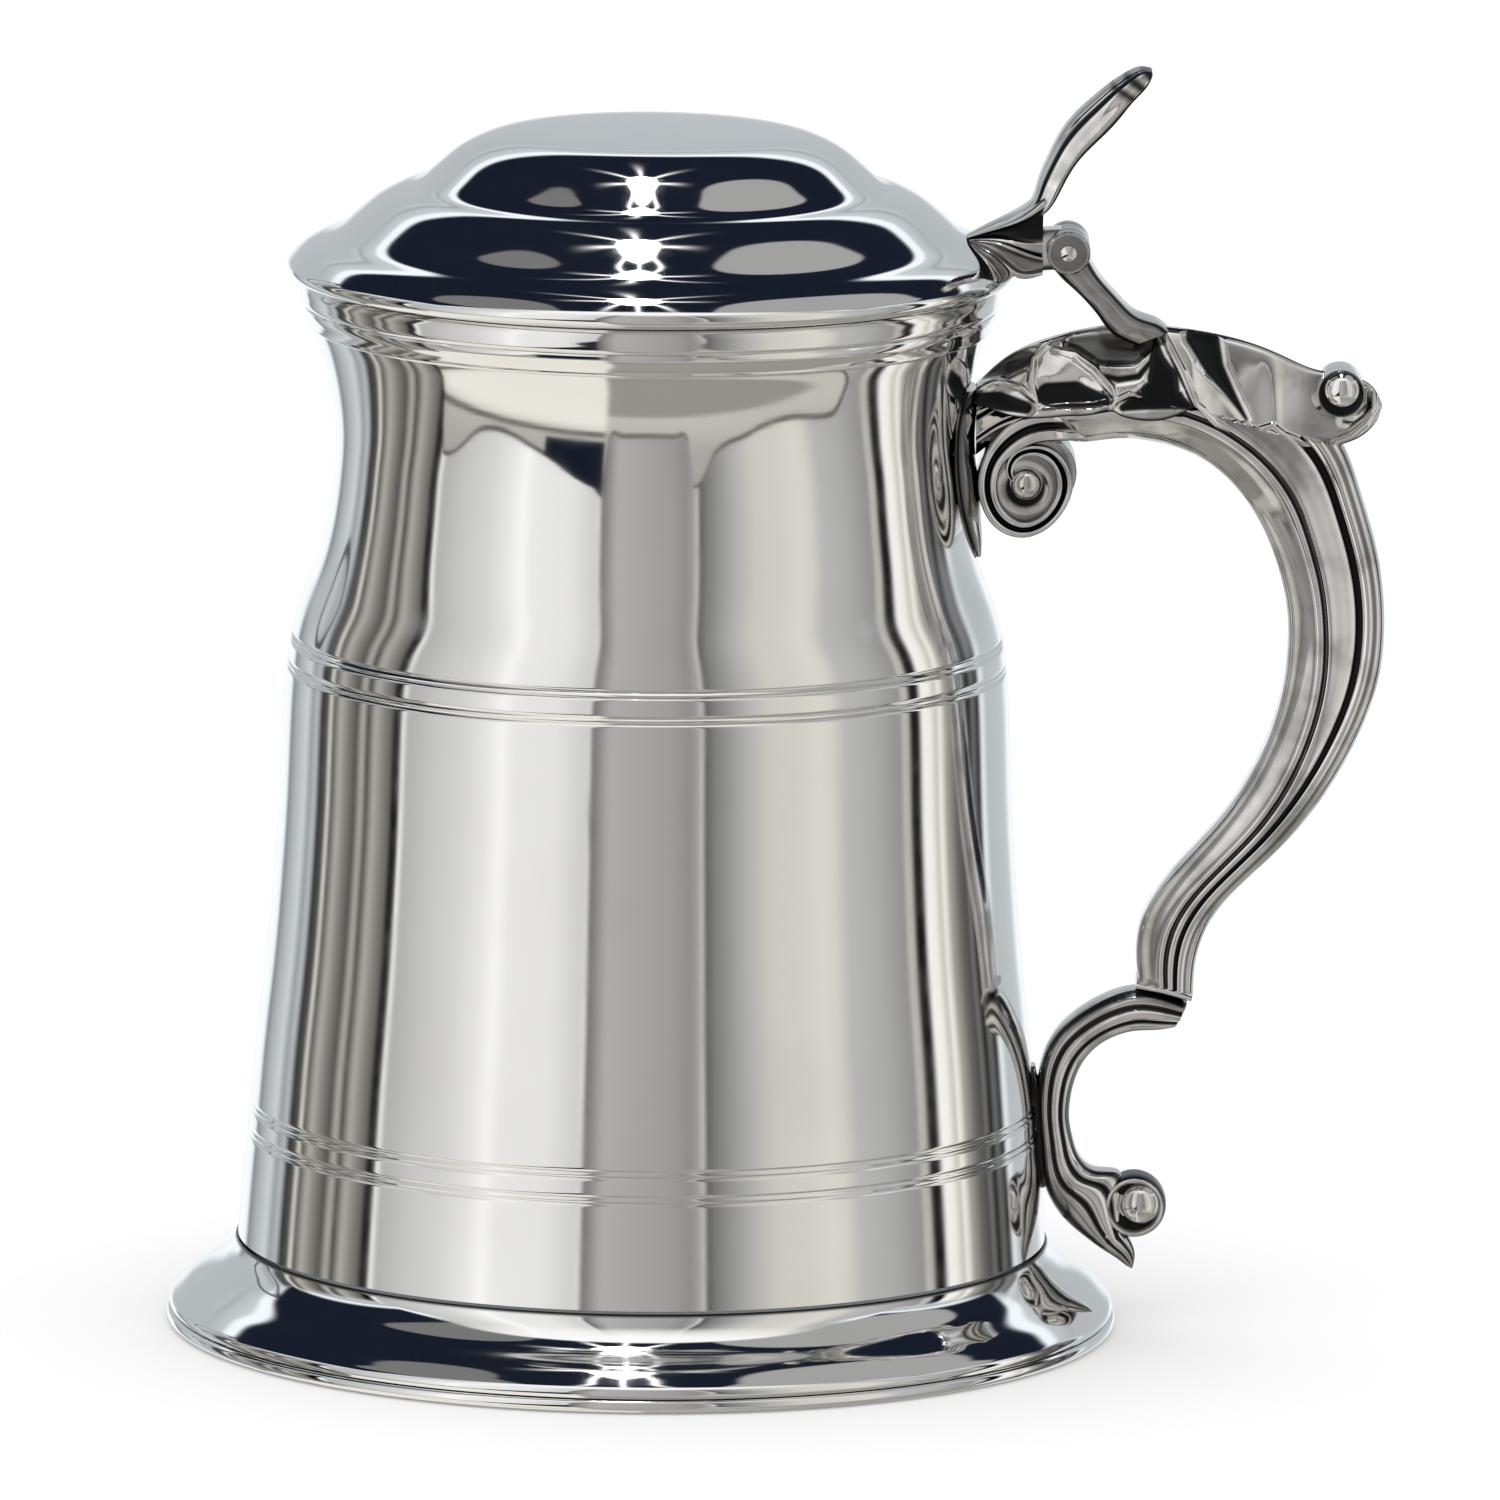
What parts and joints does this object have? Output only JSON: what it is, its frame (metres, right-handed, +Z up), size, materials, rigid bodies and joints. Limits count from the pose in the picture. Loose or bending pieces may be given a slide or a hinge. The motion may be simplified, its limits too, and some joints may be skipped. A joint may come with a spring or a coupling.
{
  "type": "lidded tankard",
  "caption": "Lidded pewter tankard: waisted drum on a flared foot, double-domed hinged lid with thumbpiece, and a double-scroll handle with an acanthus leaf.",
  "frame": {"origin": "centre of the bounding box in X and Y, on the table at the foot rim's underside", "axes": "+Z up along the drum, +X towards the handle, +Y along the lid's hinge pin"},
  "size_m": [0.1448, 0.1136, 0.1523],
  "materials": {
    "polished_pewter": "mirror-polished pewter with fine turning lines",
    "lid_pewter": "mirror-polished pewter",
    "cast_pewter": "polished cast pewter, slightly darker in the recesses",
    "inner_pewter": "satin spun pewter"
  },
  "bodies": {
    "tankard": {"body_barrel": "polished_pewter", "base_disc": "inner_pewter", "foot_skirt": "polished_pewter", "foot_rim": "polished_pewter", "rim_band": "polished_pewter", "upper_back_plate": "cast_pewter", "lower_back_plate": "cast_pewter", "handle_grip": "cast_pewter", "handle_volute": "cast_pewter", "volute_boss_left": "cast_pewter", "volute_boss_right": "cast_pewter", "acanthus_leaf": "cast_pewter", "leaf_scroll": "cast_pewter", "leaf_boss_left": "cast_pewter", "leaf_boss_right": "cast_pewter", "mitre_bead": "cast_pewter", "handle_lower_scroll": "cast_pewter", "lower_curl": "cast_pewter", "lower_boss_left": "cast_pewter", "lower_boss_right": "cast_pewter", "lower_leaf_tip": "cast_pewter", "hinge_strap": "cast_pewter", "hinge_pin": "cast_pewter"},
    "lid": {"lid_shell": "lid_pewter", "lid_bezel": "inner_pewter", "lid_tongue": "cast_pewter", "thumbpiece": "cast_pewter"}
  },
  "joints": [
    {"name": "lid_hinge", "type": "hinge", "parent": "tankard", "child": "lid", "pos_m": [0.034, 0, 0.1302], "axis": [0, 1, 0], "range_deg": [0, 82]}
  ]
}
